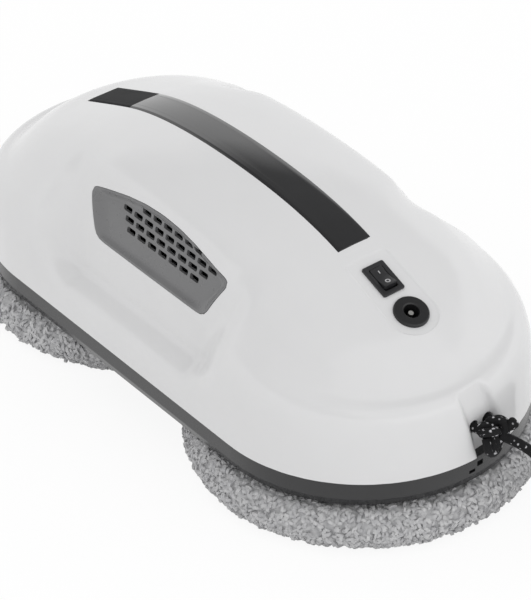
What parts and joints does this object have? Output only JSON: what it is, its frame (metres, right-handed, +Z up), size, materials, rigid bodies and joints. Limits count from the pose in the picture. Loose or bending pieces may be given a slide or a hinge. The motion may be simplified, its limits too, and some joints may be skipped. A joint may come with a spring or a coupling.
{
  "type": "window cleaning robot",
  "caption": "Window cleaning robot with a white oval shell, two turning fluffy round pads, side grilles, a rocker switch, a power socket and a black safety rope.",
  "frame": {"origin": "on the floor, midway between the two wheel axes", "axes": "+X along the body towards the switch, socket and rope, +Y across the body, +Z up"},
  "size_m": [0.3817, 0.1949, 0.1016],
  "materials": {
    "shell": "glossy white",
    "strip": "glossy black, tinted",
    "grille": "satin grey",
    "switch": "satin black",
    "socket": "satin black",
    "contact": "nickel-plated",
    "tray": "satin dark grey",
    "bush": "smooth low-friction plastic",
    "wheel": "moulded, slightly rough",
    "gear": "smooth low-friction plastic",
    "spring_steel": "bright",
    "pad": "fluffy microfibre",
    "bracket": "zinc-plated sheet",
    "motor": "plated can",
    "shaft": "ground",
    "pinion": "machined",
    "duct": "moulded",
    "fan_housing": "moulded",
    "impeller": "moulded",
    "board": "solder-masked laminate",
    "battery": "shrink wrap",
    "rope": "braided black cord with light flecks"
  },
  "bodies": {
    "chassis": {"top_shell": "shell", "trim_strip": "strip", "grille_right": "grille", "grille_left": "grille", "switch_housing": "switch", "dc_socket": "socket", "dc_pin": "contact", "dc_nut": "contact", "base_tray": "tray", "hub_bush_front": "bush", "hub_bush_rear": "bush", "motor_bracket_front": "bracket", "motor_bracket_rear": "bracket", "drive_motor_front": "motor", "drive_motor_rear": "motor", "air_duct": "duct", "fan_housing": "fan_housing", "fan_motor": "motor", "main_board": "board", "power_board": "board", "battery_pack": "battery", "rope_knot": "rope", "rope_loose_end": "rope", "rope_run": "rope", "rope_coil": "rope", "rope_end_cap": "rope"},
    "wheel_front": {"wheel_front": "wheel", "ring_gear_front": "gear", "gear_clip_front": "spring_steel", "pad_front": "pad"},
    "wheel_rear": {"wheel_rear": "wheel", "ring_gear_rear": "gear", "gear_clip_rear": "spring_steel", "pad_rear": "pad"},
    "drive_front": {"motor_shaft_front": "shaft", "pinion_front": "pinion"},
    "drive_rear": {"motor_shaft_rear": "shaft", "pinion_rear": "pinion"},
    "fan": {"fan_shaft": "shaft", "fan_impeller": "impeller"},
    "rocker": {"switch_rocker": "switch"}
  },
  "joints": [
    {"name": "wheel_front_turn", "type": "hinge", "parent": "chassis", "child": "wheel_front", "pos_m": [0.07375, 0, 0.02], "axis": [0, 0, 1], "continuous": true},
    {"name": "wheel_rear_turn", "type": "hinge", "parent": "chassis", "child": "wheel_rear", "pos_m": [-0.07375, 0, 0.02], "axis": [0, 0, 1], "continuous": true},
    {"name": "drive_front_turn", "type": "hinge", "parent": "chassis", "child": "drive_front", "pos_m": [0.06724, -0.03693, 0.029], "axis": [0, 0, 1], "continuous": true},
    {"name": "drive_rear_turn", "type": "hinge", "parent": "chassis", "child": "drive_rear", "pos_m": [-0.06724, 0.03693, 0.029], "axis": [0, 0, 1], "continuous": true},
    {"name": "fan_turn", "type": "hinge", "parent": "chassis", "child": "fan", "pos_m": [0, 0, 0.055], "axis": [0, 0, 1], "continuous": true},
    {"name": "rocker_tilt", "type": "hinge", "parent": "chassis", "child": "rocker", "pos_m": [0.08551, 0, 0.08438], "axis": [0, 1, 0], "range_deg": [0, 16]}
  ],
  "couplings": [
    {"joint": "drive_front_turn", "follows": "wheel_front_turn", "ratio": -4},
    {"joint": "drive_rear_turn", "follows": "wheel_rear_turn", "ratio": -4}
  ]
}
